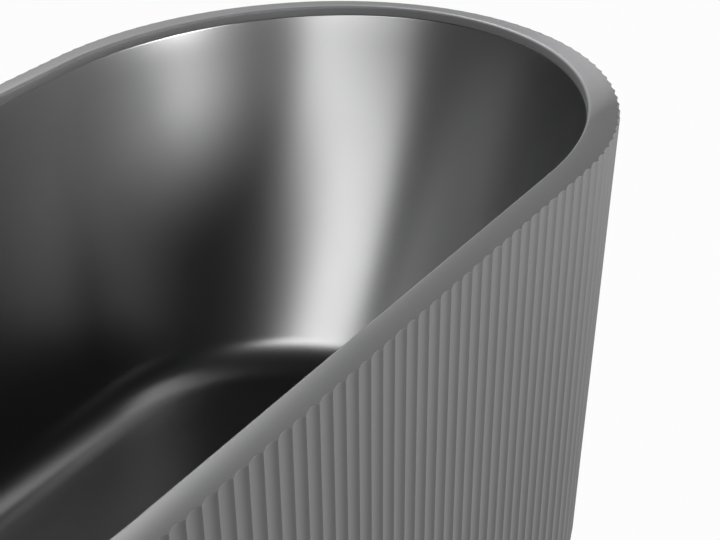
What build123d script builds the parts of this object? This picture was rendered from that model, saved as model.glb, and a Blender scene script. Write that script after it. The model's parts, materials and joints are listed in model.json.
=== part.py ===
from build123d import *
import bisect
import math
import os

os.makedirs("parts", exist_ok=True)

# Overall sizes, in millimetres. +X runs along the tub, +Z is up, the floor is z = 0.
tub_length = 1700
tub_width = 750
tub_height = 585
skirt_gap = 4

# Outer plan: straight sides closed by half ellipses, drawn in as the wall goes down
end_reach = 429
end_draw_in = 0.10
side_draw_in = 0.09
flutes_per_quarter = 46
flute_depth = 2.8
toe_height = 46
toe_inset = 3
skirt_wall = 11

# Rim, crowned: it falls from its crest, beside the mouth, to its outer edge
rim_thickness = 13
rim_crown = 5
crest_inset = 5
rim_round = 4
mouth_straight = 394
mouth_reach = 422
mouth_half_width = 341.5

# Basin, measured on its inner face
basin_floor = 110
floor_straight = 330
floor_reach = 284
floor_half_width = 264
basin_wall = 6
floor_fillet = 60
flange_thickness = 5
flange_gap = 0.5

# Base board and rim battens, bonded to the shells
board_thickness = 10
board_straight = 220
board_reach = 200
board_half_width = 190
board_hole_radius = 60
batten_length = 760
batten_width = 14
batten_height = 22
bond_gap = 2

# Leveling frame
long_tube = 20
cross_tube = 25
tube_wall = 2
long_rail_length = 1000
long_rail_y = 130
cross_rail_length = 560
cross_rail_x = 450
cap_thickness = 2.5
cap_plug = 10
cap_play = 0.4

# Fasteners
screw_xs = (-300, -140, 140, 300)
screw_radius = 2.5
screw_head_radius = 5
screw_head = 3
screw_bite = 7
bolt_radius = 4
bolt_flats = 13
bolt_head = 5.3
bolt_nut = 6.5
bolt_end = 1.5
nut_height = 8
nut_flats = 19
hole_play = 0.25
thread_play = 0.02

# Feet
foot_y = 230
foot_travel = 20
stud_radius = 6
stud_chamfer = 1.2
stud_spare = 2
cup_height = 33
cup_base_radius = 32
cup_edge = 5
cup_shoulder = 14
cup_neck_radius = 15
cup_socket = 8
running_clearance = 0.05
end_play = 0.1

# Drain: a flange screwed into a body below the floor, with an outlet under it
drain_hole_radius = 26
recess_radius = 37
recess_depth = 5
drain_boss_radius = 45
drain_boss = 3
flange_radius = 35
flange_tube_radius = 24.5
flange_bore = 22
flange_length = 38
flange_lip = 0.8
flange_seal = 1
spider_depth = 30
spider_bar = 6
spider_hub_radius = 8
body_radius = 31
body_bore = 27
body_flange_radius = 40
body_flange = 6
body_seal = 3
body_seal_radius = 38
port_height = 60
port_radius = 13
port_bore = 8
port_end = 62
outlet_radius = 20
outlet_bore = 18
outlet_end = 4
outlet_collar = 26
neck_radius = 25
neck_bottom = 34
neck_socket = 12
grip_width = 6
grip_height = 14
washer_thickness = 1.4
slip_play = 0.2

# Click plug
plug_travel = 9
plug_radius = 30
plug_boss_radius = 23
plug_seal_radius = 26.8
plug_lift = 2.2
stem_radius = 4
stem_collar_radius = 6.5
stem_collar = 2
sleeve_radius = 7
sleeve_floor = 2
sleeve_guide = 3
spring_radius = 5.6
spring_wire = 0.9
spring_turns = 4
spring_gap = 0.6

# Overflow, on the wall of the far side
overflow_height = 440
overflow_hole_radius = 25
overflow_axis_depth = 23
cover_radius = 34
cover_skin = 2
cover_hub_radius = 5
cover_bore = 3.2
overflow_seal_radius = 33
cup_radius = 34
cup_bore = 30
cup_depth = 36
cup_wall = 3
throat_bore = 22
spout_radius = 12
spout_length = 46
pipe_radius = 10
pipe_bore = 8
pipe_bend_radius = 60
pipe_nut_lip = 4
pipe_nut_grip = 3.4
cover_screw_radius = 2.55
cover_screw_reach = 14

half_straight = tub_length / 2 - end_reach
rim_underside = tub_height - rim_thickness
rim_edge = tub_height - rim_crown
board_top = basin_floor - basin_wall
board_bottom = board_top - board_thickness
drain_underside = board_top - drain_boss
long_rail_bottom = board_bottom - long_tube
cross_rail_bottom = long_rail_bottom - cross_tube


def save(shape, node):
    shape.label = node
    export_step(shape, f"parts/{node}.step")


def group(solids):
    return Compound(children=list(solids))


def tube(outer_radius, inner_radius, bottom, top):
    ring = Circle(outer_radius) - Circle(inner_radius)
    return Pos(0, 0, bottom) * extrude(ring, top - bottom)


def rod(radius, bottom, top):
    return Pos(0, 0, bottom) * extrude(Circle(radius), top - bottom)


def hexagon(across_flats, bottom, top):
    outline = RegularPolygon(across_flats / 2, 6, major_radius=False)
    return Pos(0, 0, bottom) * extrude(outline, top - bottom)


def turned(points):
    profile = make_face(Plane.XZ * Polyline(*points, close=True))
    return revolve(profile, Axis.Z)


def oval(straight, reach, half_width, height):
    """Straight sides of half-length straight, closed by half ellipses."""
    edges = [
        Line((-straight, -half_width), (straight, -half_width)),
        EllipticalCenterArc((straight, 0), reach, half_width, 270, arc_size=90),
        EllipticalCenterArc((straight, 0), reach, half_width, 0, arc_size=90),
        Line((straight, half_width), (-straight, half_width)),
        EllipticalCenterArc((-straight, 0), reach, half_width, 90, arc_size=90),
        EllipticalCenterArc((-straight, 0), reach, half_width, 180, arc_size=90),
    ]
    return Pos(0, 0, height) * make_face(edges)


def outer_plan(height):
    """Half-straight, reach and half-width of the arrises' outline at a height."""
    depth = rim_edge - height
    toe = max(0, toe_height - height) / (toe_height - skirt_gap)
    straight = half_straight - side_draw_in * depth
    reach = end_reach - end_draw_in * depth - toe_inset * toe
    return straight, reach, tub_width / 2 - toe_inset * toe


def quarter_points(straight, reach, half_width, count):
    """Points equally spaced along one quarter of an oval, from its end to the middle of its side."""
    steps = 600
    path = []
    for step in range(steps + 1):
        angle = step / steps * math.pi / 2
        path.append((straight + reach * math.cos(angle), half_width * math.sin(angle)))
    path.append((0, half_width))
    run = [0]
    for start, end in zip(path, path[1:]):
        run.append(run[-1] + math.dist(start, end))
    points = []
    for index in range(count + 1):
        target = run[-1] * index / count
        place = min(max(bisect.bisect_left(run, target), 1), len(path) - 1)
        share = (target - run[place - 1]) / (run[place] - run[place - 1])
        start, end = path[place - 1], path[place]
        points.append((start[0] + share * (end[0] - start[0]), start[1] + share * (end[1] - start[1])))
    return points


def fluted_section(height):
    """The outline of the skirt at a height: concave arcs between arrises."""
    quarter = quarter_points(*outer_plan(height), flutes_per_quarter)
    half = quarter + [(-x, y) for x, y in reversed(quarter[:-1])]
    arrises = half + [(x, -y) for x, y in reversed(half[1:-1])]
    arcs = []
    for start, end in zip(arrises, arrises[1:] + arrises[:1]):
        chord = math.dist(start, end)
        inward = ((start[1] - end[1]) / chord, (end[0] - start[0]) / chord)
        middle_x = (start[0] + end[0]) / 2 + inward[0] * flute_depth
        middle_y = (start[1] + end[1]) / 2 + inward[1] * flute_depth
        arcs.append(ThreePointArc(start, (middle_x, middle_y), end))
    return Pos(0, 0, height) * make_face(arcs)


def skirt_inside(height, gap=0):
    straight, reach, half_width = outer_plan(max(height, toe_height))
    return oval(straight, reach - skirt_wall - gap, half_width - skirt_wall - gap, height)


def above_rim():
    """What lies above the crowned rim, outside its crest."""
    sections = []
    for share in (-0.05, 0.3, 0.65, 1):
        straight = half_straight + share * (mouth_straight - half_straight)
        reach = end_reach + share * (mouth_reach + crest_inset - end_reach)
        half_width = tub_width / 2 + share * (mouth_half_width + crest_inset - tub_width / 2)
        sections.append(oval(straight, reach, half_width, tub_height - rim_crown * (1 - share) ** 2))
    bottom = sections[0].center().Z
    block = oval(half_straight, end_reach + skirt_wall, tub_width / 2 + skirt_wall, bottom)
    return extrude(block, 2 * rim_crown) - loft(sections)


def make_skirt():
    middle = (tub_height + toe_height) / 2
    heights = [skirt_gap, toe_height, middle, tub_height]
    body = loft([fluted_section(height) for height in heights], ruled=True)
    body -= loft([skirt_inside(toe_height), skirt_inside(rim_underside)], ruled=True)
    body -= extrude(skirt_inside(toe_height), -toe_height)
    mouth = oval(mouth_straight, mouth_reach, mouth_half_width, rim_underside - 1)
    body -= extrude(mouth, rim_thickness + 2)
    top_edges = body.edges().filter_by_position(Axis.Z, tub_height - 0.01, tub_height + 0.01)
    flute_chord = tub_width / flutes_per_quarter
    lip = [edge for edge in top_edges if edge.length > 3 * flute_chord]
    return fillet(lip, rim_round) - above_rim()


def basin_plan(height):
    """Half-straight, reach and half-width of the basin's inner face, before its floor fillet."""
    share = (height - basin_floor) / (rim_underside - basin_floor)
    straight = floor_straight + share * (mouth_straight - floor_straight)
    reach = floor_reach + share * (mouth_reach - floor_reach)
    half_width = floor_half_width + share * (mouth_half_width - floor_half_width)
    return straight, reach, half_width


def basin_block(thickness, top):
    """The basin filled in: its inner face moved out by a wall thickness, with a rounded floor."""
    bottom = basin_floor - thickness
    rise = rim_underside - basin_floor
    side_lean = math.hypot(rise, mouth_half_width - floor_half_width) / rise
    end_run = mouth_straight + mouth_reach - floor_straight - floor_reach
    end_lean = math.hypot(rise, end_run) / rise
    sections = []
    for height in (bottom, top):
        straight, reach, half_width = basin_plan(height)
        reach += thickness * end_lean
        half_width += thickness * side_lean
        sections.append(oval(straight, reach, half_width, height))
    block = loft(sections, ruled=True)
    floor_edges = block.edges().filter_by_position(Axis.Z, bottom - 0.01, bottom + 0.01)
    return fillet(floor_edges, floor_fillet + thickness)


side_slope = (mouth_half_width - floor_half_width) / (rim_underside - basin_floor)
wall_tilt = math.degrees(math.atan(side_slope))
overflow_point = (0, basin_plan(overflow_height)[2], overflow_height)
into_tub = (0, -math.cos(math.radians(wall_tilt)), math.sin(math.radians(wall_tilt)))
overflow_plane = Plane(origin=overflow_point, x_dir=(1, 0, 0), z_dir=into_tub)
overflow_place = overflow_plane.location


def make_basin():
    rim_flange_bottom = rim_underside - flange_thickness
    shell = basin_block(basin_wall, rim_underside)
    shell += extrude(skirt_inside(rim_flange_bottom, flange_gap), flange_thickness)
    shell += rod(drain_boss_radius, drain_underside, basin_floor)
    shell -= basin_block(0, rim_underside)
    shell -= rod(recess_radius, basin_floor - recess_depth, basin_floor + 1)
    shell -= rod(drain_hole_radius, drain_underside - 1, basin_floor + 1)
    return shell - overflow_place * rod(overflow_hole_radius, -3 * basin_wall, basin_wall)


def make_rim_batten(side):
    centre_y = tub_width / 2 - skirt_wall - bond_gap - batten_width / 2
    top = rim_underside - flange_thickness
    return Pos(0, side * centre_y, top - batten_height / 2) * Box(batten_length, batten_width, batten_height)


long_rail_z = long_rail_bottom + long_tube / 2
cross_rail_z = cross_rail_bottom + cross_tube / 2
foot_places = [(x, y) for x in (-cross_rail_x, cross_rail_x) for y in (-foot_y, foot_y)]
bolt_places = [(x, y) for x in (-cross_rail_x, cross_rail_x) for y in (-long_rail_y, long_rail_y)]
screw_places = [(x, y) for x in screw_xs for y in (-long_rail_y, long_rail_y)]


def make_base_board():
    outline = oval(board_straight, board_reach, board_half_width, board_bottom)
    board = extrude(outline, board_thickness)
    for x, y in screw_places:
        board -= Pos(x, y, 0) * rod(screw_radius + thread_play, board_bottom - 1, board_bottom + screw_bite)
    return board - rod(board_hole_radius, board_bottom - 1, board_top + 1)


def box_tube(width, length):
    """A square tube along X, centred on the origin, with rounded corners."""
    bore = width - 2 * tube_wall
    section = RectangleRounded(width, width, 2 * tube_wall) - RectangleRounded(bore, bore, tube_wall)
    return Plane.YZ * Pos(0, 0, -length / 2) * extrude(section, length)


def tube_caps(width, length):
    """End caps for a box tube: a plate on each end and a plug inside it."""
    plate = extrude(RectangleRounded(width, width, 2 * tube_wall), cap_thickness)
    plug_width = width - 2 * tube_wall - cap_play
    plug = Pos(0, 0, -cap_plug) * extrude(RectangleRounded(plug_width, plug_width, tube_wall), cap_plug)
    cap = Plane.YZ * (plate + plug)
    return [Pos(length / 2, 0, 0) * cap, Pos(-length / 2, 0, 0) * Rot(0, 0, 180) * cap]


def make_long_rail(side):
    rail = Pos(0, side * long_rail_y, long_rail_z) * box_tube(long_tube, long_rail_length)
    screw_hole = rod(screw_radius + hole_play, long_rail_bottom - 1, board_bottom + 1)
    bolt_hole = rod(bolt_radius + hole_play, long_rail_bottom - 1, board_bottom + 1)
    for x in screw_xs:
        rail -= Pos(x, side * long_rail_y, 0) * screw_hole
    for x in (-cross_rail_x, cross_rail_x):
        rail -= Pos(x, side * long_rail_y, 0) * bolt_hole
    return rail


def make_cross_rail(end):
    rail = Pos(end * cross_rail_x, 0, cross_rail_z) * Rot(0, 0, 90) * box_tube(cross_tube, cross_rail_length)
    bolt_hole = rod(bolt_radius + hole_play, cross_rail_bottom - 1, long_rail_bottom + 1)
    stud_hole = rod(stud_radius + 2 * hole_play, cross_rail_bottom - 1, long_rail_bottom + 1)
    for side in (-1, 1):
        rail -= Pos(end * cross_rail_x, side * long_rail_y, 0) * bolt_hole
        rail -= Pos(end * cross_rail_x, side * foot_y, 0) * stud_hole
    return rail


def make_board_screw():
    head = rod(screw_head_radius, long_rail_bottom - screw_head, long_rail_bottom)
    return head + rod(screw_radius, long_rail_bottom, board_bottom + screw_bite)


def make_frame_bolt():
    head = hexagon(bolt_flats, cross_rail_bottom - bolt_head, cross_rail_bottom)
    return head + rod(bolt_radius, cross_rail_bottom, board_bottom + bolt_nut + bolt_end)


def threaded_nut(across_flats, radius, bottom, top):
    return hexagon(across_flats, bottom, top) - rod(radius, bottom - 1, top + 1)


stud_top = long_rail_bottom + nut_height + foot_travel + stud_spare
locknut_bottom = cross_rail_bottom - nut_height


def make_foot_cup():
    """A moulded cup with a wide base, a waist and a socket for the stud."""
    profile = [
        (0, 0),
        (cup_base_radius - 1, 0),
        (cup_base_radius, 1),
        (cup_base_radius, cup_edge),
        (cup_neck_radius + 3, cup_shoulder),
        (cup_neck_radius, cup_height),
        (stud_radius + running_clearance, cup_height),
        (stud_radius + running_clearance, cup_socket),
        (0, cup_socket),
    ]
    return turned(profile)


def make_foot_stud():
    collar = hexagon(nut_flats, cup_height + end_play, locknut_bottom)
    stud = collar + rod(stud_radius, cup_socket + end_play, stud_top)
    return chamfer(stud.edges().group_by(Axis.Z)[-1], stud_chamfer)


# Drain pieces are turned about the tub's vertical axis
seat_top = basin_floor - recess_depth + flange_seal
flange_bottom = basin_floor - flange_length
spider_height = basin_floor - spider_depth
spider_top = spider_height + spider_bar / 2
stem_bottom = spider_top + sleeve_floor
cartridge_top = stem_bottom + sleeve_guide + plug_travel
body_top = drain_underside - body_seal
plug_under = basin_floor - plug_lift


def make_waste_flange():
    profile = [
        (flange_bore, flange_bottom),
        (flange_tube_radius, flange_bottom),
        (flange_tube_radius, seat_top),
        (flange_radius, seat_top),
        (flange_radius, basin_floor),
        (flange_radius - 1.5, basin_floor + flange_lip),
        (flange_radius - 3.5, basin_floor + flange_lip),
        (flange_bore + 3.5, seat_top + 1.2),
        (flange_bore, seat_top + 0.6),
    ]
    flange = turned(profile)
    bar = Pos(0, 0, spider_height) * Box(2 * flange_bore + 2, spider_bar, spider_bar)
    flange += bar + Rot(0, 0, 90) * bar + rod(spider_hub_radius, spider_height - spider_bar / 2, spider_top)
    return flange - rod(stem_radius, spider_height - spider_bar, spider_height + spider_bar)


def make_waste_body():
    profile = [
        (flange_tube_radius + 0.5, flange_bottom - 2),
        (flange_tube_radius + 0.5, body_top),
        (body_flange_radius, body_top),
        (body_flange_radius, body_top - body_flange),
        (body_radius, body_top - 1.5 * body_flange),
        (body_radius, neck_bottom + 18),
        (neck_radius, neck_bottom + 14),
        (neck_radius, neck_bottom),
        (outlet_radius + slip_play, neck_bottom),
        (outlet_radius + slip_play, neck_bottom + neck_socket),
        (outlet_bore, neck_bottom + neck_socket),
        (outlet_bore, neck_bottom + neck_socket + 3),
        (body_bore, neck_bottom + 20),
        (body_bore, flange_bottom - 4),
    ]
    body = turned(profile)
    port_axis = Plane(origin=(0, 0, port_height), x_dir=(1, 0, 0), z_dir=(0, 1, 0))
    port = port_axis * rod(port_radius, body_bore + 1, port_end)
    bore = port_axis * rod(port_bore, body_bore - 17, port_end + 1)
    pipe_socket = port_axis * rod(pipe_radius + slip_play, port_end - 18, port_end + 1)
    return body + port - bore - pipe_socket


def make_cartridge():
    sleeve = tube(sleeve_radius, stem_radius + running_clearance, spider_top, cartridge_top)
    screw = tube(stem_radius, stem_radius / 2, spider_height - 1.5 * spider_bar, spider_top)
    return sleeve + screw + rod(stem_radius + 0.5, spider_top, stem_bottom)


def make_plug_cap():
    profile = [
        (0, plug_under),
        (plug_boss_radius, plug_under),
        (plug_boss_radius, plug_under + 2),
        (plug_radius - 0.5, plug_under + 3.4),
        (plug_radius, plug_under + 4),
        (plug_radius, plug_under + 4.6),
        (plug_radius - 2, plug_under + 5.8),
        (plug_radius - 14, plug_under + 7),
        (0, plug_under + 7.4),
    ]
    return turned(profile)


def make_plug_stem():
    stem = rod(stem_radius, stem_bottom + end_play, plug_under)
    return stem + rod(stem_collar_radius, plug_under - stem_collar, plug_under)


def make_plug_seal():
    return tube(plug_seal_radius, plug_boss_radius + running_clearance, plug_under + 0.4, plug_under + 1.9)


def make_plug_spring():
    """Square wire wound in quarter turns between the cartridge and the plug."""
    bottom = cartridge_top + spring_gap
    top = plug_under - stem_collar - spring_gap
    quarters = 4 * spring_turns
    arcs = []
    for quarter in range(quarters):
        points = []
        for step in (0, 0.5, 1):
            angle = (quarter + step) * math.pi / 2
            height = bottom + (top - bottom) * (quarter + step) / quarters
            points.append((spring_radius * math.cos(angle), spring_radius * math.sin(angle), height))
        arcs.append(ThreePointArc(*points))
    path = Wire(arcs)
    section = Plane(origin=path @ 0, z_dir=path % 0) * Rectangle(spring_wire, spring_wire)
    return sweep(section, path)


def make_tailpiece():
    pipe = rod(outlet_radius, outlet_end, neck_bottom + neck_socket - slip_play)
    pipe += rod(outlet_radius + 1.5, outlet_collar, outlet_collar + 2.5)
    return pipe - rod(outlet_bore, outlet_end - 1, basin_floor)


def make_tailpiece_nut():
    grip = RegularPolygon(neck_radius + grip_width, 12) - Circle(outlet_radius + 2 * slip_play)
    nut = Pos(0, 0, neck_bottom - 5) * extrude(grip, grip_height)
    return nut - rod(neck_radius + 0.3, neck_bottom - washer_thickness, neck_bottom + grip_height)


def ribbed_nut(length, thread_radius):
    """A pipe nut along +Z: a lip that closes on the pipe, then a thread over its length."""
    grip = RegularPolygon(thread_radius + pipe_nut_grip, 10) - Circle(pipe_radius + 0.3)
    return extrude(grip, length) - rod(thread_radius + 0.3, pipe_nut_lip, length + 1)


# The overflow is built on the tilted wall: local +Z points into the tub, local +Y runs up the wall
cup_front = -basin_wall - body_seal
cup_back = -cup_depth
down_the_wall = -overflow_plane.y_dir
spout_axis = Plane(origin=(0, 0, -overflow_axis_depth), x_dir=(1, 0, 0), z_dir=(0, -1, 0))


def make_overflow_cover():
    dome = [(0, 12), (0, 14), (20, 13.4), (31, 11.6), (cover_radius, 8.6)]
    inner_radius = cover_radius - cover_skin
    hollow = [(cover_radius, 2), (inner_radius, 2), (inner_radius, 8), (29, 10), (20, 11.4)]
    cover = turned(dome + hollow) + tube(cover_hub_radius, cover_bore, 2, 12.5)
    cover -= rod(cover_bore, 0, 20)
    for angle in (-40, 0, 40):
        slot = Box(14, 12, 5)
        cover -= Rot(0, 0, angle) * Pos(0, 1 - cover_radius, 4.4) * slot
    return overflow_place * cover


def make_overflow_body():
    cup = tube(cup_radius, cup_bore, cup_back + cup_wall, cup_front)
    cup += rod(cup_radius, cup_back, cup_back + cup_wall)
    cup += tube(cup_radius, throat_bore, cup_front - cup_wall, cup_front)
    cup += tube(overflow_hole_radius - 0.5, throat_bore, cup_front - cup_wall, -1)
    spout = spout_axis * rod(spout_radius, cup_bore + 1, spout_length)
    bore = spout_axis * rod(pipe_bore, cup_bore - 10, spout_length + 1)
    socket = spout_axis * rod(pipe_radius + slip_play, spout_length - 10, spout_length + 1)
    bridge = Pos(0, 0, -12) * Box(2 * throat_bore + 2, 9, 5)
    screw_hole = rod(cover_screw_radius + running_clearance, -20, 0)
    return overflow_place * (cup + spout + bridge - bore - socket - screw_hole)


def make_overflow_screw():
    screw = rod(cover_screw_radius, -cover_screw_reach, cover_screw_reach)
    screw += rod(5.6, cover_screw_reach, cover_screw_reach + 3)
    return overflow_place * (screw - hexagon(4, cover_screw_reach + 1, cover_screw_reach + 4))


def make_overflow_pipe():
    start = overflow_plane.from_local_coords(Vector(0, 9.5 - spout_length, -overflow_axis_depth))
    slope = down_the_wall.Y / down_the_wall.Z
    corner = Vector(0, start.Y + (port_height - start.Z) * slope, port_height)
    finish = Vector(0, port_end - 17.5, port_height)
    path = FilletPolyline(start, corner, finish, radius=pipe_bend_radius)
    ring = Plane(origin=start, z_dir=down_the_wall) * (Circle(pipe_radius) - Circle(pipe_bore))
    return sweep(ring, path)


def make_pipe_nut_top():
    nut_end = (0, -spout_length - pipe_nut_lip, -overflow_axis_depth)
    nut_axis = Plane(origin=nut_end, x_dir=(1, 0, 0), z_dir=(0, 1, 0))
    return overflow_place * (nut_axis * ribbed_nut(16, spout_radius))


def make_pipe_nut_bottom():
    nut_axis = Plane(origin=(0, port_end + pipe_nut_lip, port_height), x_dir=(1, 0, 0), z_dir=(0, -1, 0))
    return nut_axis * ribbed_nut(18, port_radius)


save(make_skirt(), "fluted_skirt")
save(make_basin(), "basin")
save(make_base_board(), "base_board")
for name, side in (("left", 1), ("right", -1)):
    save(make_rim_batten(side), f"rim_batten_{name}")
    save(make_long_rail(side), f"long_rail_{name}")
for name, end in (("head", -1), ("foot", 1)):
    save(make_cross_rail(end), f"cross_rail_{name}")

long_caps = []
cross_caps = []
for cap in tube_caps(long_tube, long_rail_length):
    long_caps += [Pos(0, side * long_rail_y, long_rail_z) * cap for side in (-1, 1)]
for cap in tube_caps(cross_tube, cross_rail_length):
    cross_caps += [Pos(end * cross_rail_x, 0, cross_rail_z) * Rot(0, 0, 90) * cap for end in (-1, 1)]
save(group(long_caps), "long_rail_caps")
save(group(cross_caps), "cross_rail_caps")

save(group(Pos(x, y, 0) * make_board_screw() for x, y in screw_places), "board_screws")
save(group(Pos(x, y, 0) * make_frame_bolt() for x, y in bolt_places), "frame_bolts")
frame_nut = threaded_nut(bolt_flats, bolt_radius + thread_play, board_bottom, board_bottom + bolt_nut)
save(group(Pos(x, y, 0) * frame_nut for x, y in bolt_places), "frame_nuts")

nut_bore = stud_radius + running_clearance
locknut = threaded_nut(nut_flats, nut_bore, locknut_bottom, cross_rail_bottom)
weld_nut = threaded_nut(nut_flats, nut_bore, long_rail_bottom, long_rail_bottom + nut_height)
save(group(Pos(x, y, 0) * locknut for x, y in foot_places), "foot_locknuts")
save(group(Pos(x, y, 0) * weld_nut for x, y in foot_places), "foot_weld_nuts")
for number, (x, y) in enumerate(foot_places, 1):
    save(Pos(x, y, 0) * make_foot_cup(), f"foot_cup_{number}")
    save(Pos(x, y, 0) * make_foot_stud(), f"foot_stud_{number}")

save(make_waste_flange(), "waste_flange")
save(tube(flange_radius, flange_tube_radius + 0.3, seat_top - flange_seal, seat_top), "flange_seal")
save(make_waste_body(), "waste_body")
save(tube(body_seal_radius, drain_hole_radius + 1, body_top, drain_underside), "body_seal")
save(make_cartridge(), "click_cartridge")
save(make_plug_cap(), "plug_cap")
save(make_plug_stem(), "plug_stem")
save(make_plug_seal(), "plug_seal")
save(make_plug_spring(), "plug_spring")
save(make_tailpiece(), "tailpiece")
save(make_tailpiece_nut(), "tailpiece_nut")
washer = tube(neck_radius - slip_play, outlet_radius + 0.1, neck_bottom - washer_thickness, neck_bottom)
save(washer, "tailpiece_washer")

save(make_overflow_cover(), "overflow_cover")
save(overflow_place * tube(overflow_seal_radius, overflow_hole_radius + 1, 0, 2), "overflow_gasket")
save(make_overflow_body(), "overflow_body")
body_ring = tube(overflow_seal_radius, overflow_hole_radius + 1, cup_front, -basin_wall)
save(overflow_place * body_ring, "overflow_body_seal")
save(make_overflow_screw(), "overflow_screw")
save(make_overflow_pipe(), "overflow_pipe")
save(make_pipe_nut_top(), "overflow_pipe_nut_top")
save(make_pipe_nut_bottom(), "overflow_pipe_nut_bottom")
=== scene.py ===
import bisect
import json
import math

import bmesh
import bpy
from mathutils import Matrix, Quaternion, Vector


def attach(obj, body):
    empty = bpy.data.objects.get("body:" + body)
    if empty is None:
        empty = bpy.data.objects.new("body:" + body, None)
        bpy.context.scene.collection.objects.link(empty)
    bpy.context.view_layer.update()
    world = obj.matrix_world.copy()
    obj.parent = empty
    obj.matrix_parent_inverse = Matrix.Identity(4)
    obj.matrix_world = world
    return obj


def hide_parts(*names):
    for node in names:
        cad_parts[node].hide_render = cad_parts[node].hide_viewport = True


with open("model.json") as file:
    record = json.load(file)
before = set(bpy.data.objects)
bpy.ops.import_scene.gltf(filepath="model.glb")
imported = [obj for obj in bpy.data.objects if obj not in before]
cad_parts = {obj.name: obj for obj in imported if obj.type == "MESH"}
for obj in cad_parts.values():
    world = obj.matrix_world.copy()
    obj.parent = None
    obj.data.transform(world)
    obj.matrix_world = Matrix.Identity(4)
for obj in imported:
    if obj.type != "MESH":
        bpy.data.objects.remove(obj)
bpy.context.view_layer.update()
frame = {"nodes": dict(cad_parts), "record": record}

nodes = frame["nodes"]
mm = 0.001
smoothing = {"shells": 40, "fittings": 32}
newPieces = []
print("frame loaded,", len(nodes), "nodes")


# Helpers for edit mode

def deselectAll():
    if bpy.context.object and bpy.context.object.mode != "OBJECT":
        bpy.ops.object.mode_set(mode="OBJECT")
    bpy.ops.object.select_all(action="DESELECT")


def startRing(name, points):
    # a circle primitive whose vertices are moved onto the first ring
    deselectAll()
    bpy.ops.mesh.primitive_circle_add(vertices=len(points), radius=1)
    piece = bpy.context.object
    piece.name = name
    piece.data.name = name
    bpy.ops.object.mode_set(mode="EDIT")
    bpy.ops.mesh.select_all(action="SELECT")
    placeSelected(piece, points)
    return piece


def placeSelected(piece, points):
    mesh = bmesh.from_edit_mesh(piece.data)
    picked = [vert for vert in mesh.verts if vert.select]
    for vert, point in zip(picked, points):
        vert.co = point
    bmesh.update_edit_mesh(piece.data)


def growRing(piece, points):
    # extrudes the last ring's edges, and puts the new ring on its points
    bpy.ops.mesh.extrude_edges_indiv()
    placeSelected(piece, points)


def closeRings():
    # joins the last ring to the first, which makes the wall one closed shell
    bpy.ops.mesh.select_mode(type="EDGE")
    bpy.ops.mesh.select_all(action="DESELECT")
    bpy.ops.mesh.select_non_manifold()
    bpy.ops.mesh.bridge_edge_loops()
    bpy.ops.mesh.select_mode(type="VERT")
    bpy.ops.mesh.select_all(action="SELECT")
    bpy.ops.mesh.normals_make_consistent(inside=False)
    bpy.ops.object.mode_set(mode="OBJECT")


def capRings():
    # fills the two open ends of a run of rings
    bpy.ops.mesh.select_all(action="SELECT")
    bpy.ops.mesh.fill_holes(sides=0)
    bpy.ops.mesh.select_all(action="SELECT")
    bpy.ops.mesh.normals_make_consistent(inside=False)
    bpy.ops.object.mode_set(mode="OBJECT")


def ringsPiece(name, rings, closed):
    # a piece grown ring by ring, whose ends are joined to each other or filled
    piece = startRing(name, rings[0])
    for ring in rings[1:]:
        growRing(piece, ring)
    if closed:
        closeRings()
    else:
        capRings()
    return piece


def pickOnly(piece):
    deselectAll()
    piece.select_set(True)
    bpy.context.view_layer.objects.active = piece


def copyPiece(piece, name, move=(0, 0, 0), turn=0):
    # a copy with its own mesh, moved in mm and turned about the upright axis, with its place in its mesh
    pickOnly(piece)
    bpy.ops.object.duplicate()
    twin = bpy.context.object
    twin.name = name
    twin.data.name = name
    twin.location = Vector(move) * mm
    twin.rotation_euler.z = turn
    bpy.ops.object.transform_apply(location=True, rotation=True, scale=False)
    return twin


def smoothByAngle(piece, degrees):
    pickOnly(piece)
    bpy.ops.object.shade_smooth_by_angle(angle=math.radians(degrees))


def settle(piece, body, node, slot):
    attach(piece, body)
    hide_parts(node)
    newPieces.append((piece, slot))


# Outer shell: its sizes repeat the part's, in mm

skirt = {
    "length": 1700, "width": 750, "height": 585, "floorGap": 4,
    "endReach": 429, "endDrawIn": 0.10, "sideDrawIn": 0.09,
    "toeHeight": 46, "toeInset": 3, "wall": 11,
    "flutesPerQuarter": 46, "fluteDepth": 2.8, "arrisRound": 1.2, "fluteSteps": 8, "planSteps": 600,
    "rimThickness": 13, "rimCrown": 5, "rimWidth": 28.5, "crestInset": 5, "rimRings": 8,
    "lipRound": 4, "lipSteps": 6, "edgeRound": 0.3, "edgeSteps": 3, "edgeHold": 0.3, "wallRings": 9,
}
mouth = {"straight": 394, "reach": 422, "halfWidth": 341.5}
rimEdge = skirt["height"] - skirt["rimCrown"]


def outerPlan(height):
    depth = rimEdge - height
    toe = max(0, skirt["toeHeight"] - height) / (skirt["toeHeight"] - skirt["floorGap"])
    halfStraight = skirt["length"] / 2 - skirt["endReach"]
    straight = halfStraight - skirt["sideDrawIn"] * depth
    reach = skirt["endReach"] - skirt["endDrawIn"] * depth - skirt["toeInset"] * toe
    return straight, reach, skirt["width"] / 2 - skirt["toeInset"] * toe


def quarterPoints(straight, reach, halfWidth, count):
    # equal steps along one quarter of an oval, from its end to the middle of its side
    steps = skirt["planSteps"]
    path = []
    for step in range(steps + 1):
        angle = step / steps * math.pi / 2
        path.append((straight + reach * math.cos(angle), halfWidth * math.sin(angle)))
    path.append((0, halfWidth))
    run = [0]
    for start, end in zip(path, path[1:]):
        run.append(run[-1] + math.dist(start, end))
    points = []
    for index in range(count + 1):
        target = run[-1] * index / count
        place = min(max(bisect.bisect_left(run, target), 1), len(path) - 1)
        share = (target - run[place - 1]) / (run[place] - run[place - 1])
        start, end = path[place - 1], path[place]
        points.append((start[0] + share * (end[0] - start[0]), start[1] + share * (end[1] - start[1])))
    return points


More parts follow.
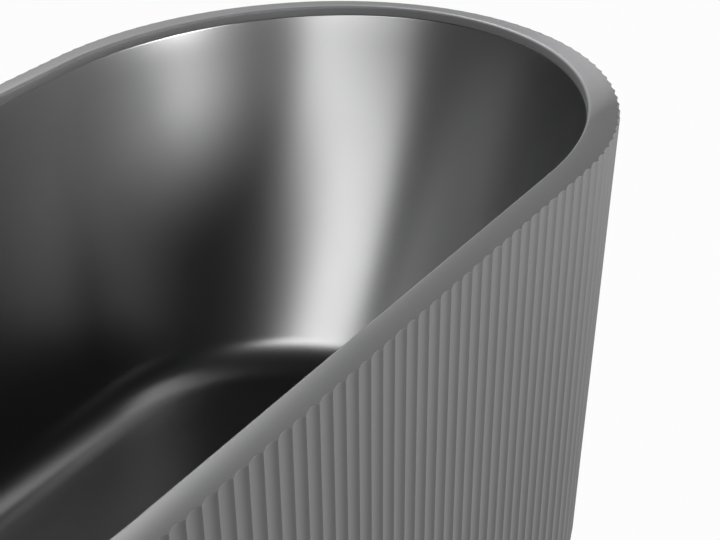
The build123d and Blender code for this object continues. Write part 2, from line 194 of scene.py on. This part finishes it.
def wholeOval(quarter):
    half = quarter + [(-x, y) for x, y in reversed(quarter[:-1])]
    return half + [(x, -y) for x, y in reversed(half[1:-1])]


def fluteProfile(chord):
    # (along the chord, inward) from one arris to just before the next: nose, concave arc, nose
    depth, nose = skirt["fluteDepth"], skirt["arrisRound"]
    radius = (chord * chord / 4 + depth * depth) / (2 * depth)
    noseDepth = math.sqrt((radius + nose) ** 2 - chord * chord / 4) - (radius - depth)
    touch = chord / 2 * nose / (radius + nose)
    noseAngle = math.asin(touch / nose)
    arcAngle = math.asin((chord / 2 - touch) / radius)
    half = (nose * math.sin(noseAngle / 2), noseDepth - nose * math.cos(noseAngle / 2))
    profile = [(0, noseDepth - nose), half]
    for step in range(skirt["fluteSteps"] + 1):
        angle = arcAngle * (2 * step / skirt["fluteSteps"] - 1)
        profile.append((chord / 2 + radius * math.sin(angle), radius * math.cos(angle) - (radius - depth)))
    profile.append((chord - half[0], half[1]))
    return profile


def rimHeight(inset):
    # the crowned rim falls away from its crest, faster towards its outer edge
    share = 1 - inset / skirt["rimWidth"]
    return skirt["height"] - skirt["rimCrown"] * share * share


def flutedRing(height, inset=0, onRim=False):
    # at one height, or on the rim and then lowered by that height
    straight, reach, halfWidth = outerPlan(rimEdge if onRim else height)
    quarter = quarterPoints(straight, reach - inset, halfWidth - inset, skirt["flutesPerQuarter"])
    arrises = wholeOval(quarter)
    ring = []
    for start, end in zip(arrises, arrises[1:] + arrises[:1]):
        chord = math.dist(start, end)
        along = ((end[0] - start[0]) / chord, (end[1] - start[1]) / chord)
        inward = (-along[1], along[0])
        for run, depth in fluteProfile(chord):
            x = start[0] + along[0] * run + inward[0] * depth
            y = start[1] + along[1] * run + inward[1] * depth
            z = rimHeight(inset + depth) - height if onRim else height
            ring.append(Vector((x, y, z)) * mm)
    return ring


def plainRing(straight, reach, halfWidth, height):
    # as many points as a fluted ring has: an arc and three points of the noses for each flute
    arcPoints, nosePoints = skirt["fluteSteps"] + 1, 3
    count = skirt["flutesPerQuarter"] * (arcPoints + nosePoints)
    quarter = quarterPoints(straight, reach, halfWidth, count)
    return [Vector((x, y, height)) * mm for x, y in wholeOval(quarter)]


def mouthRing(offset, height):
    return plainRing(mouth["straight"], mouth["reach"] + offset, mouth["halfWidth"] + offset, height)


def insideRing(height):
    straight, reach, halfWidth = outerPlan(max(height, skirt["toeHeight"]))
    return plainRing(straight, reach - skirt["wall"], halfWidth - skirt["wall"], height)


def edgeArc(radius, steps):
    # (inset, drop) round a quarter circle from the top face to the side
    angles = [step / steps * math.pi / 2 for step in range(steps + 1)]
    return [(radius * (1 - math.sin(angle)), radius * (1 - math.cos(angle))) for angle in angles]


def crownRing(crest, outerEdge, share):
    # between the rim's crest and its scalloped edge, with the height of the crown there
    ring = []
    for inner, outer in zip(crest, outerEdge):
        point = inner.lerp(outer, share)
        point.z = inner.z + (outer.z - inner.z) * share * share
        ring.append(point)
    return ring


def buildSkirt():
    top, edge, hold = skirt["height"], skirt["edgeRound"], skirt["edgeHold"]
    crest = mouthRing(skirt["crestInset"], top)
    outerEdge = flutedRing(0, edge + hold, onRim=True)
    rings = [crest]
    for step in range(1, skirt["rimRings"]):
        share = step / skirt["rimRings"]
        rings.append(crownRing(crest, outerEdge, share))
    rings.append(outerEdge)
    for inset, drop in edgeArc(edge, skirt["edgeSteps"]):
        rings.append(flutedRing(drop, inset, onRim=True))
    rings.append(flutedRing(edge + hold, onRim=True))
    for step in range(1, skirt["wallRings"]):
        share = step / skirt["wallRings"]
        rings.append(flutedRing(rimEdge + share * (skirt["toeHeight"] - rimEdge)))
    rings.append(flutedRing(skirt["toeHeight"] + hold))
    rings.append(flutedRing(skirt["toeHeight"] - hold))
    rings.append(flutedRing(skirt["floorGap"] + edge))
    rings.append(flutedRing(skirt["floorGap"], edge))
    rings.append(insideRing(skirt["floorGap"]))
    underside = top - skirt["rimThickness"]
    rings.append(insideRing(skirt["toeHeight"]))
    rings.append(insideRing(underside))
    rings.append(mouthRing(hold, underside))
    rings.append(mouthRing(0, underside))
    rings.append(mouthRing(0, underside + hold))
    lip = skirt["lipRound"]
    for outward, drop in reversed(edgeArc(lip, skirt["lipSteps"])):
        rings.append(mouthRing(outward, top - drop))
    piece = ringsPiece("skirtShell", rings, closed=True)
    smoothByAngle(piece, smoothing["shells"])
    return piece


# Basin: the smooth inner shell, in mm

basin = {
    "floor": 110, "floorStraight": 330, "floorReach": 284, "floorHalfWidth": 264,
    "wall": 6, "fillet": 60, "endBow": 22, "flange": 5, "flangeGap": 0.5,
    "seamStep": 1.2, "seamRound": 1.5, "seamHold": 2, "edgeSteps": 3,
    "wallRings": 20, "filletRings": 16, "floorRings": 8, "straightSteps": 36, "endSteps": 64,
    "recess": 37, "recessDepth": 5, "recessRound": 1.5, "hole": 26, "boss": 45, "bossDepth": 3,
    "overflowHeight": 440, "overflowHole": 25, "overflowSides": 64, "cutterLength": 60,
}
rimUnderside = skirt["height"] - skirt["rimThickness"]


def ovalRing(straight, end, halfWidth, endHeight, sideHeight):
    # one ring of the basin, whose height may differ between the ends and the sides
    quarter = []
    for step in range(basin["endSteps"]):
        angle = step / basin["endSteps"] * math.pi / 2
        rise = sideHeight + (endHeight - sideHeight) * math.cos(angle) ** 2
        quarter.append((straight + (end - straight) * math.cos(angle), halfWidth * math.sin(angle), rise))
    for step in range(basin["straightSteps"] + 1):
        quarter.append((straight * (1 - step / basin["straightSteps"]), halfWidth, sideHeight))
    half = quarter + [(-x, y, z) for x, y, z in reversed(quarter[:-1])]
    ring = half + [(x, -y, z) for x, y, z in reversed(half[1:-1])]
    return [Vector(point) * mm for point in ring]


def roundRing(radius, height):
    count = 4 * (basin["endSteps"] + basin["straightSteps"])
    angles = [index / count * 2 * math.pi for index in range(count)]
    return [Vector((radius * math.cos(angle), radius * math.sin(angle), height)) * mm for angle in angles]


def wallProfile(floorReach, mouthReach):
    # lean of a wall in section, and the place of the centre of its floor fillet
    rise = rimUnderside - basin["floor"]
    lean = math.atan((mouthReach - floorReach) / rise)
    centre = floorReach + basin["fillet"] * math.tan(lean) - basin["fillet"] / math.cos(lean)
    return lean, centre


sideLean, sideCentre = wallProfile(basin["floorHalfWidth"], mouth["halfWidth"] - basin["seamStep"])
endLean, endCentre = wallProfile(basin["floorStraight"] + basin["floorReach"],
                                 mouth["straight"] + mouth["reach"] - basin["seamStep"])


def bowAt(height):
    # the ends are hollowed a little between the floor and the rim, as a backrest is
    share = (height - basin["floor"]) / (rimUnderside - basin["floor"])
    return 4 * basin["endBow"] * max(0, share * (1 - share))


def straightAt(height):
    share = (height - basin["floor"]) / (rimUnderside - basin["floor"])
    return basin["floorStraight"] + share * (mouth["straight"] - basin["floorStraight"])


def filletRing(share, thickness):
    # share 0 is the foot of the wall and 1 the edge of the flat floor
    radius = basin["fillet"] + thickness
    across, height = [], []
    for lean, centre in ((endLean, endCentre), (sideLean, sideCentre)):
        angle = lean + share * (math.pi / 2 - lean)
        across.append(centre + radius * math.cos(angle))
        height.append(basin["floor"] + basin["fillet"] - radius * math.sin(angle))
    straight = straightAt(max(basin["floor"], sum(height) / 2))
    return ovalRing(straight, across[0] + bowAt(height[0]), across[1], height[0], height[1])


def wallRing(share, thickness, top):
    # share 0 is the top of the wall and 1 its foot, where the fillet starts
    radius = basin["fillet"] + thickness
    across, height = [], []
    for lean, centre in ((endLean, endCentre), (sideLean, sideCentre)):
        footAcross = centre + radius * math.cos(lean)
        footHeight = basin["floor"] + basin["fillet"] - radius * math.sin(lean)
        across.append(footAcross + (1 - share) * (top - footHeight) * math.tan(lean))
        height.append(footHeight + (1 - share) * (top - footHeight))
    straight = straightAt(max(basin["floor"], sum(height) / 2))
    return ovalRing(straight, across[0] + bowAt(height[0]), across[1], height[0], height[1])


def flangeRing(height):
    straight, reach, halfWidth = outerPlan(rimUnderside - basin["flange"])
    gap = skirt["wall"] + basin["flangeGap"]
    return ovalRing(straight, straight + reach - gap, halfWidth - gap, height, height)


def topRing(offset, height):
    end = mouth["straight"] + mouth["reach"] - basin["seamStep"] + offset
    return ovalRing(mouth["straight"], end, mouth["halfWidth"] - basin["seamStep"] + offset, height, height)


def mixRings(first, second, share):
    return [a.lerp(b, share) for a, b in zip(first, second)]


def buildBasin():
    floor, wall, seam = basin["floor"], basin["wall"], basin["seamRound"]
    rings = [flangeRing(rimUnderside), topRing(seam + basin["seamHold"], rimUnderside)]
    for outward, drop in edgeArc(seam, basin["edgeSteps"]):
        rings.append(topRing(outward, rimUnderside - drop))
    top = rimUnderside - seam
    for step in range(1, basin["wallRings"] + 1):
        rings.append(wallRing(step / basin["wallRings"], 0, top))
    for step in range(1, basin["filletRings"] + 1):
        rings.append(filletRing(step / basin["filletRings"], 0))
    floorEdge = rings[-1]
    recessEdge = roundRing(basin["recess"] + basin["recessRound"], floor)
    for step in range(1, basin["floorRings"]):
        rings.append(mixRings(floorEdge, recessEdge, step / basin["floorRings"]))
    for outward, drop in edgeArc(basin["recessRound"], basin["edgeSteps"]):
        rings.append(roundRing(basin["recess"] + outward, floor - drop))
    seat = floor - basin["recessDepth"]
    underside = floor - wall
    for radius, height in ((basin["recess"], seat), (basin["hole"], seat),
                           (basin["hole"], underside - basin["bossDepth"]),
                           (basin["boss"], underside - basin["bossDepth"]), (basin["boss"], underside)):
        rings.append(roundRing(radius, height))
    bossEdge, outerEdge = rings[-1], filletRing(1, wall)
    for step in range(1, basin["floorRings"]):
        rings.append(mixRings(bossEdge, outerEdge, step / basin["floorRings"]))
    for step in range(basin["filletRings"] + 1):
        rings.append(filletRing(1 - step / basin["filletRings"], wall))
    flangeFoot = rimUnderside - basin["flange"]
    for step in range(1, basin["wallRings"] + 1):
        rings.append(wallRing(1 - step / basin["wallRings"], wall, flangeFoot))
    rings.append(flangeRing(flangeFoot))
    piece = ringsPiece("basinShell", rings, closed=True)
    cutOverflow(piece)
    smoothByAngle(piece, smoothing["shells"])
    return piece


def cutOverflow(piece):
    # a hole square to the sloping wall, for the overflow's neck
    height = basin["overflowHeight"]
    y = basin["floorHalfWidth"] + (height - basin["floor"]) * math.tan(sideLean)
    deselectAll()
    bpy.ops.mesh.primitive_cylinder_add(vertices=basin["overflowSides"], radius=basin["overflowHole"] * mm,
                                        depth=basin["cutterLength"] * mm, location=(0, y * mm, height * mm),
                                        rotation=(math.pi / 2 + sideLean, 0, 0))
    cutter = bpy.context.object
    pickOnly(piece)
    hole = piece.modifiers.new("overflowHole", "BOOLEAN")
    hole.operation = "DIFFERENCE"
    hole.solver = "EXACT"
    hole.object = cutter
    bpy.ops.object.modifier_apply(modifier=hole.name)
    bpy.data.meshes.remove(cutter.data)


skirtShell = buildSkirt()
settle(skirtShell, "tub", "fluted_skirt", "matt_gelcoat")
print("outer shell:", len(skirtShell.data.polygons), "faces")
basinShell = buildBasin()
settle(basinShell, "tub", "basin", "satin_acrylic")
print("basin:", len(basinShell.data.polygons), "faces")


# Levelling studs: a hex collar to turn them by, and a rolled thread, in mm

stud = {
    "places": [(-450, -230), (-450, 230), (450, -230), (450, 230)],
    "foot": 8.1, "collarFoot": 33.1, "collarTop": 41, "top": 104, "rod": 6, "chamfer": 1.2,
    "acrossFlats": 19, "cornerRadius": 9.9, "collarRound": 0.7,
    "pitch": 1.75, "threadDepth": 0.95, "threadFlat": 0.1, "stepsPerTurn": 8, "sides": 36,
}


def studRing(radiusAt, height):
    angles = [index / stud["sides"] * 2 * math.pi for index in range(stud["sides"])]
    return [Vector((radiusAt(a) * math.cos(a), radiusAt(a) * math.sin(a), height)) * mm for a in angles]


def collarRadius(angle):
    half = math.pi / 6
    return stud["acrossFlats"] / 2 / math.cos(angle % (2 * half) - half)


def easedCollar(angle):
    # the collar's end faces, with the corners turned off
    return min(collarRadius(angle), stud["cornerRadius"]) - stud["collarRound"]


def threadRing(height):
    # the groove runs round as it climbs, and fades out in the chamfer at the top
    limit = stud["rod"] - max(0, stud["chamfer"] - (stud["top"] - height))
    flat = stud["threadFlat"]

    def radiusAt(angle):
        turn = (height / stud["pitch"] - angle / (2 * math.pi)) % 1
        groove = (abs(2 * turn - 1) - flat) / (1 - 2 * flat)
        return min(limit, stud["rod"] - stud["threadDepth"] * min(1, max(0, groove)))
    return studRing(radiusAt, height)


def buildStud():
    rod, bevel, ease = stud["rod"], stud["chamfer"], stud["collarRound"]
    foot, low, high = stud["foot"], stud["collarFoot"], stud["collarTop"]
    outline = [(lambda angle: rod - bevel, foot), (lambda angle: rod, foot + bevel), (lambda angle: rod, low),
               (easedCollar, low), (collarRadius, low + ease), (collarRadius, high - ease),
               (easedCollar, high)]
    rings = [studRing(radiusAt, height) for radiusAt, height in outline]
    climb = stud["top"] - high
    steps = round(climb / stud["pitch"] * stud["stepsPerTurn"])
    for step in range(steps + 1):
        rings.append(threadRing(high + climb * step / steps))
    piece = ringsPiece("studPattern", rings, closed=False)
    smoothByAngle(piece, smoothing["fittings"])
    return piece


studPattern = buildStud()
for number, (x, y) in enumerate(stud["places"], 1):
    piece = copyPiece(studPattern, f"footStud{number}", move=(x, y, 0))
    settle(piece, f"stud_{number}", f"foot_stud_{number}", "zinc_steel")
print("studs:", len(studPattern.data.polygons), "faces each")
bpy.data.meshes.remove(studPattern.data)


# Plug cap and waste flange, turned, in mm: (radius, height)

waste = {
    "sides": 72,
    "cap": [(22.6, 107.8), (23, 108.2), (23, 109.6), (23.3, 109.9), (29.2, 111.1), (29.8, 111.5), (30, 112),
            (29.8, 112.5), (29.2, 112.95), (28, 113.5)],
    "domeEdge": 28, "domeFoot": 113.5, "domeRise": 1.7, "domeRings": 8, "domeMiddle": 0.4,
    "flange": [(22, 72.4), (22.4, 72), (24.1, 72), (24.5, 72.4), (24.5, 105.6), (24.9, 106), (34.6, 106),
               (35, 106.4), (35, 109.6), (34.7, 110.2), (34.1, 110.6), (33.3, 110.8), (31.9, 110.8),
               (31.2, 110.6), (25.9, 107.5), (25.1, 107.15), (22.5, 106.7), (22.1, 106.4)],
    "hub": [(4, 77.3), (4.3, 77), (7.7, 77), (8, 77.3), (8, 82.7), (7.7, 83), (4.3, 83), (4, 82.7)],
    "bars": 4, "barWidth": 6, "barLow": 77, "barHigh": 83, "barFrom": 7.4, "barTo": 22.6,
    "barRound": 0.5, "barRoundSteps": 2,
}


def turnedRing(radius, height):
    angles = [index / waste["sides"] * 2 * math.pi for index in range(waste["sides"])]
    return [Vector((radius * math.cos(a), radius * math.sin(a), height)) * mm for a in angles]


def turnedPiece(name, rings, closed):
    piece = ringsPiece(name, rings, closed)
    smoothByAngle(piece, smoothing["fittings"])
    return piece


def buildPlugCap():
    rings = [turnedRing(radius, height) for radius, height in waste["cap"]]
    for step in range(1, waste["domeRings"] + 1):
        share = 1 - step / (waste["domeRings"] + waste["domeMiddle"])
        rings.append(turnedRing(waste["domeEdge"] * share,
                                waste["domeFoot"] + waste["domeRise"] * (1 - share * share)))
    return turnedPiece("plugCap", rings, closed=False)


def buildBar():
    # one bar of the cross, with its edges eased
    start, end, low, high = (waste[key] * mm for key in ("barFrom", "barTo", "barLow", "barHigh"))
    deselectAll()
    bpy.ops.mesh.primitive_cube_add(size=1, location=((start + end) / 2, 0, (low + high) / 2),
                                    scale=(end - start, waste["barWidth"] * mm, high - low))
    bpy.ops.object.transform_apply(location=True, rotation=True, scale=True)
    bar = bpy.context.object
    bpy.ops.object.mode_set(mode="EDIT")
    bpy.ops.mesh.select_all(action="SELECT")
    bpy.ops.mesh.bevel(offset=waste["barRound"] * mm, segments=waste["barRoundSteps"], affect="EDGES")
    bpy.ops.object.mode_set(mode="OBJECT")
    return bar


def buildWasteFlange():
    # the flange, with the cross that carries the plug's guide
    flange = turnedPiece("wasteFlange", [turnedRing(*point) for point in waste["flange"]], closed=True)
    hub = turnedPiece("wasteHub", [turnedRing(*point) for point in waste["hub"]], closed=True)
    bar = buildBar()
    cross = [hub, bar]
    for number in range(1, waste["bars"]):
        cross.append(copyPiece(bar, f"wasteBar{number}", turn=number / waste["bars"] * 2 * math.pi))
    pickOnly(flange)
    for part in cross:
        part.select_set(True)
    bpy.ops.object.join()
    return flange


plugCap = buildPlugCap()
settle(plugCap, "plug", "plug_cap", "satin_chrome")
wasteFlange = buildWasteFlange()
settle(wasteFlange, "tub", "waste_flange", "satin_chrome")
print("drain:", len(plugCap.data.polygons) + len(wasteFlange.data.polygons), "faces")


# Materials

bumpStrength = 0.5


def linearColour(code):
    # an sRGB hex value as linear red, green, blue and alpha
    channels = [int(code[place:place + 2], 16) / 255 for place in (1, 3, 5)]
    linear = [c / 12.92 if c <= 0.04045 else ((c + 0.055) / 1.055) ** 2.4 for c in channels]
    return (*linear, 1)


def addNode(tree, kind, settings=None, values=None, links=None):
    # values go to input sockets, and links join an input to (node, output)
    node = tree.nodes.new(kind)
    for name, value in (settings or {}).items():
        setattr(node, name, value)
    for socket, value in (values or {}).items():
        node.inputs[socket].default_value = value
    for socket, (source, output) in (links or {}).items():
        tree.links.new(source.outputs[output], node.inputs[socket])
    return node


def newMaterial(name):
    material = bpy.data.materials.new(name)
    material.use_nodes = True
    tree = material.node_tree
    shader = tree.nodes["Principled BSDF"]
    place = addNode(tree, "ShaderNodeTexCoord")
    return material, tree, shader, place


def perMetre(sizeMm):
    # texture scale that makes one cell as large as a real size
    return 1 / (sizeMm * mm)


def dressShader(tree, shader, look, tintBy, roughBy, heightBy):
    # colour, roughness and relief, each between the look's two ends by the output of a pattern
    tint = addNode(tree, "ShaderNodeMix", {"data_type": "RGBA"}, links={0: tintBy},
                   values={6: linearColour(look["dark"]), 7: linearColour(look["light"])})
    rough = addNode(tree, "ShaderNodeMapRange", links={"Value": roughBy},
                    values={"To Min": look["roughLow"], "To Max": look["roughHigh"]})
    bump = addNode(tree, "ShaderNodeBump", links={"Height": heightBy},
                   values={"Strength": bumpStrength, "Distance": look["deepMm"] * mm})
    tree.links.new(tint.outputs[2], shader.inputs["Base Color"])
    tree.links.new(rough.outputs[0], shader.inputs["Roughness"])
    tree.links.new(bump.outputs[0], shader.inputs["Normal"])


def cloudedFinish(name, look):
    # a wide cloud in the colour, and a finer grain in the roughness and the relief
    material, tree, shader, place = newMaterial(name)
    cloud = addNode(tree, "ShaderNodeTexNoise", values={"Scale": perMetre(look["cloudMm"]), "Detail": 3},
                    links={"Vector": (place, "Object")})
    grain = addNode(tree, "ShaderNodeTexNoise", values={"Scale": perMetre(look["grainMm"]), "Detail": 2},
                    links={"Vector": (place, "Object")})
    dressShader(tree, shader, look, (cloud, "Fac"), (grain, "Fac"), (grain, "Fac"))
    shader.inputs["IOR"].default_value = look["ior"]
    return material


# Gelcoat sprayed on glass fibre and left matt: an even grey with a faint tooth that spreads every reflection
gelcoatLook = {"light": "#474748", "dark": "#434344", "cloudMm": 160, "grainMm": 1.1, "deepMm": 0.012,
               "roughLow": 0.46, "roughHigh": 0.54, "ior": 1.45}


def mattGelcoat():
    return cloudedFinish("mattGelcoat", gelcoatLook)


# Acrylic sheet drawn over a mould and satined: a dark colour with a faint ripple and soft-edged highlights.
# The colour is painted almost black, far darker than the shell outside, as painted shade of the deep inside
# of the tub
acrylicLookWithPaintedShade = {"light": "#0c0c0d", "dark": "#090909", "cloudMm": 220, "grainMm": 45, "deepMm": 0.008,
               "roughLow": 0.28, "roughHigh": 0.32, "ior": 1.49, "coat": 1, "coatRough": 0.29, "coatIor": 1.5}


def satinAcrylic():
    material = cloudedFinish("satinAcrylic", acrylicLookWithPaintedShade)
    shader = material.node_tree.nodes["Principled BSDF"]
    shader.inputs["Coat Weight"].default_value = acrylicLookWithPaintedShade["coat"]
    shader.inputs["Coat Roughness"].default_value = acrylicLookWithPaintedShade["coatRough"]
    shader.inputs["Coat IOR"].default_value = acrylicLookWithPaintedShade["coatIor"]
    return material


# The finishes of the frame, the drain and the overflow
fittingLooks = {
    # steel dipped in zinc and passivated: a pale grey metal with a soft spangle
    "zinc_steel": {"name": "zincPlatedSteel", "pattern": "ShaderNodeTexVoronoi", "tintFrom": "Color",
                   "heightFrom": "Distance", "sizeMm": 7, "stretch": (1, 1, 1), "light": "#c3c5c8",
                   "dark": "#a4a7ab", "roughLow": 0.30, "roughHigh": 0.46, "deepMm": 0.02, "metal": 1},
    # chips pressed with resin and sealed: brown flakes under a dull varnish
    "sealed_chipboard": {"name": "sealedChipboard", "pattern": "ShaderNodeTexVoronoi", "tintFrom": "Color",
                         "heightFrom": "Distance", "sizeMm": 5, "stretch": (0.5, 1.4, 1), "light": "#c9a878",
                         "dark": "#8f6d42", "roughLow": 0.5, "roughHigh": 0.68, "deepMm": 0.08, "ior": 1.5},
    # polypropylene moulded in an eroded tool: black with a fine grain that dulls it
    "black_plastic": {"name": "mouldedPolypropylene", "pattern": "ShaderNodeTexNoise", "tintFrom": "Fac",
                      "heightFrom": "Fac", "sizeMm": 0.9, "stretch": (1, 1, 1), "light": "#2b2b2d",
                      "dark": "#1d1d1f", "roughLow": 0.42, "roughHigh": 0.58, "deepMm": 0.03, "ior": 1.49},
    # brass turned, plated and brushed dull: a cool metal with fine scratches along one way
    "satin_chrome": {"name": "satinChrome", "pattern": "ShaderNodeTexNoise", "tintFrom": "Fac",
                     "heightFrom": "Fac", "sizeMm": 1.0, "stretch": (0.12, 1.3, 1.3), "light": "#cfd1d3",
                     "dark": "#b9bbbe", "roughLow": 0.20, "roughHigh": 0.30, "deepMm": 0.001, "metal": 1},
    # brass turned on a lathe: a warm metal with marks round it
    "brass": {"name": "turnedBrass", "pattern": "ShaderNodeTexNoise", "tintFrom": "Fac",
              "heightFrom": "Fac", "sizeMm": 1.5, "stretch": (0.1, 0.1, 3), "light": "#d9b56a",
              "dark": "#b98f45", "roughLow": 0.24, "roughHigh": 0.38, "deepMm": 0.015, "metal": 1},
    # moulded rubber: black, dull, with a faint grey bloom
    "black_rubber": {"name": "sealRubber", "pattern": "ShaderNodeTexNoise", "tintFrom": "Fac",
                     "heightFrom": "Fac", "sizeMm": 4, "stretch": (1, 1, 1), "light": "#262627",
                     "dark": "#161617", "roughLow": 0.7, "roughHigh": 0.86, "deepMm": 0.02, "ior": 1.52},
}


def fittingFinish(look):
    material, tree, shader, place = newMaterial(look["name"])
    drawn = addNode(tree, "ShaderNodeMapping", values={"Scale": look["stretch"]},
                    links={"Vector": (place, "Object")})
    pattern = addNode(tree, look["pattern"], values={"Scale": perMetre(look["sizeMm"])},
                      links={"Vector": (drawn, 0)})
    grey = addNode(tree, "ShaderNodeRGBToBW", links={0: (pattern, look["tintFrom"])})
    dressShader(tree, shader, look, (grey, 0), (grey, 0), (pattern, look["heightFrom"]))
    if look.get("metal"):
        shader.inputs["Metallic"].default_value = 1
    else:
        shader.inputs["IOR"].default_value = look["ior"]
    return material


finishes = {"matt_gelcoat": mattGelcoat(), "satin_acrylic": satinAcrylic()}
for slot, look in fittingLooks.items():
    finishes[slot] = fittingFinish(look)
for row in frame["record"]["subparts"]:
    for place in nodes[row["node"]].material_slots:
        place.material = finishes[row["material_slot"]]
for piece, slot in newPieces:
    piece.data.materials.clear()
    piece.data.materials.append(finishes[slot])
print("finishes:", len(finishes))


# Studio: pale floor, softboxes and the photograph's camera

camera = {"place": (-1.35096, -1.09878, 1.41266), "yaw": 0.5210, "pitch": -0.4663,
          "lens": 92.29, "sensor": 36, "clipEnd": 100}
# a flagged softbox is kept off that shell and off the floor, as cards beside the tub would do in a studio
softboxes = {
    "headBox": {"aim": (0.74, 0.06, 0.36), "azimuth": -156.5, "elevation": 27, "roll": -14,
                "distance": 2.6, "size": (2.4, 1.2), "spread": 180, "radiance": 14, "flagged": skirtShell},
    "frontBox": {"aim": (0.5, 0.3, 0.44), "azimuth": -82, "elevation": 20.5, "roll": 0, "distance": 2.6,
                 "size": (1.0, 1.15), "spread": 24, "radiance": 3.6, "flagged": skirtShell},
    "sideBox": {"aim": (0, 0, 0.35), "azimuth": -19, "elevation": 50, "roll": 0, "distance": 3.0,
                "size": (1.9, 0.7), "spread": 180, "radiance": 3, "flagged": None},
    "lowStrip": {"aim": (0.2, -0.37, 0.3), "azimuth": -55, "elevation": 1, "roll": 0, "distance": 6.0,
                 "size": (3.2, 0.6), "spread": 180, "radiance": 90, "flagged": None},
    "backBox": {"aim": (0, 0, 0.5), "azimuth": 60, "elevation": 50, "roll": 0, "distance": 3.0,
                "size": (2.0, 1.2), "spread": 180, "radiance": 27, "flagged": basinShell},
    "lipStrip": {"aim": (0.3, 0.36, 0.58), "azimuth": -90, "elevation": 15, "roll": 0, "distance": 0.66,
                 "size": (1.5, 0.12), "spread": 180, "radiance": 16, "flagged": basinShell},
}
backdrop = {"level": 0.5, "ceiling": 0.05, "from": 18, "to": 40,
            "floorSize": 24, "floorColour": "#c4c4c4", "floorRough": 0.9, "floorGlow": 0.97}


def addCamera():
    data = bpy.data.cameras.new("photoCamera")
    data.lens = camera["lens"]
    data.sensor_width = camera["sensor"]
    data.clip_end = camera["clipEnd"]
    holder = bpy.data.objects.new("photoCamera", data)
    bpy.context.scene.collection.objects.link(holder)
    holder.location = camera["place"]
    holder.rotation_euler = (math.pi / 2 + camera["pitch"], 0, camera["yaw"] - math.pi / 2)
    bpy.context.scene.camera = holder


def addSoftbox(name, box, floor):
    width, height = box["size"]
    data = bpy.data.lights.new(name, "AREA")
    data.shape = "RECTANGLE"
    data.size, data.size_y = width, height
    data.spread = math.radians(box["spread"])
    data.energy = box["radiance"] * math.pi * width * height
    lamp = bpy.data.objects.new(name, data)
    bpy.context.scene.collection.objects.link(lamp)
    azimuth, elevation = math.radians(box["azimuth"]), math.radians(box["elevation"])
    aim = Vector(box["aim"])
    out = Vector((math.cos(azimuth) * math.cos(elevation), math.sin(azimuth) * math.cos(elevation),
                  math.sin(elevation)))
    lamp.visible_camera = False
    lamp.location = aim + out * box["distance"]
    turn = Quaternion((0, 0, 1), math.radians(box["roll"]))
    lamp.rotation_euler = (out.to_track_quat("Z", "Y") @ turn).to_euler()
    if box["flagged"]:
        shaded = bpy.data.collections.new(name + "Flag")
        shaded.objects.link(box["flagged"])
        shaded.objects.link(floor)
        for row in shaded.collection_objects:
            row.light_linking.link_state = "EXCLUDE"
        lamp.light_linking.receiver_collection = shaded


def seenRays(tree):
    # 1 for camera, glossy and transmission rays, which all see the floor as white
    path = addNode(tree, "ShaderNodeLightPath")
    first = addNode(tree, "ShaderNodeMath", {"operation": "MAXIMUM"},
                    links={0: (path, "Is Camera Ray"), 1: (path, "Is Glossy Ray")})
    return addNode(tree, "ShaderNodeMath", {"operation": "MAXIMUM"},
                   links={0: (first, 0), 1: (path, "Is Transmission Ray")})


def addWorld():
    # pale backdrop all round, fading to a dark ceiling between two heights of the view, in degrees
    world = bpy.data.worlds.new("studio")
    bpy.context.scene.world = world
    world.use_nodes = True
    tree = world.node_tree
    background = tree.nodes["Background"]
    background.inputs["Color"].default_value = (1, 1, 1, 1)
    place = addNode(tree, "ShaderNodeTexCoord")
    axes = addNode(tree, "ShaderNodeSeparateXYZ", links={0: (place, "Generated")})
    level = addNode(tree, "ShaderNodeMapRange", {"interpolation_type": "SMOOTHSTEP"},
                    values={"From Min": math.sin(math.radians(backdrop["from"])),
                            "From Max": math.sin(math.radians(backdrop["to"])),
                            "To Min": backdrop["level"], "To Max": backdrop["ceiling"]},
                    links={"Value": (axes, "Z")})
    tree.links.new(level.outputs[0], background.inputs["Strength"])


def addFloor():
    deselectAll()
    bpy.ops.mesh.primitive_plane_add(size=backdrop["floorSize"], location=(0, 0, 0))
    floor = bpy.context.object
    floor.name = "studioFloor"
    material = bpy.data.materials.new("paleFloor")
    material.use_nodes = True
    tree = material.node_tree
    shader = tree.nodes["Principled BSDF"]
    shader.inputs["Base Color"].default_value = linearColour(backdrop["floorColour"])
    shader.inputs["Roughness"].default_value = backdrop["floorRough"]
    glow = addNode(tree, "ShaderNodeEmission", values={"Strength": 1})
    share = addNode(tree, "ShaderNodeMath", {"operation": "MULTIPLY"}, values={1: backdrop["floorGlow"]},
                    links={0: (seenRays(tree), 0)})
    mixed = addNode(tree, "ShaderNodeMixShader", links={0: (share, 0), 1: (shader, 0), 2: (glow, 0)})
    tree.links.new(mixed.outputs[0], tree.nodes["Material Output"].inputs["Surface"])
    floor.data.materials.append(material)
    return floor


addCamera()
addWorld()
studioFloor = addFloor()
for name, box in softboxes.items():
    addSoftbox(name, box, studioFloor)
bpy.context.scene.view_settings.view_transform = "Standard"
print("studio ready")
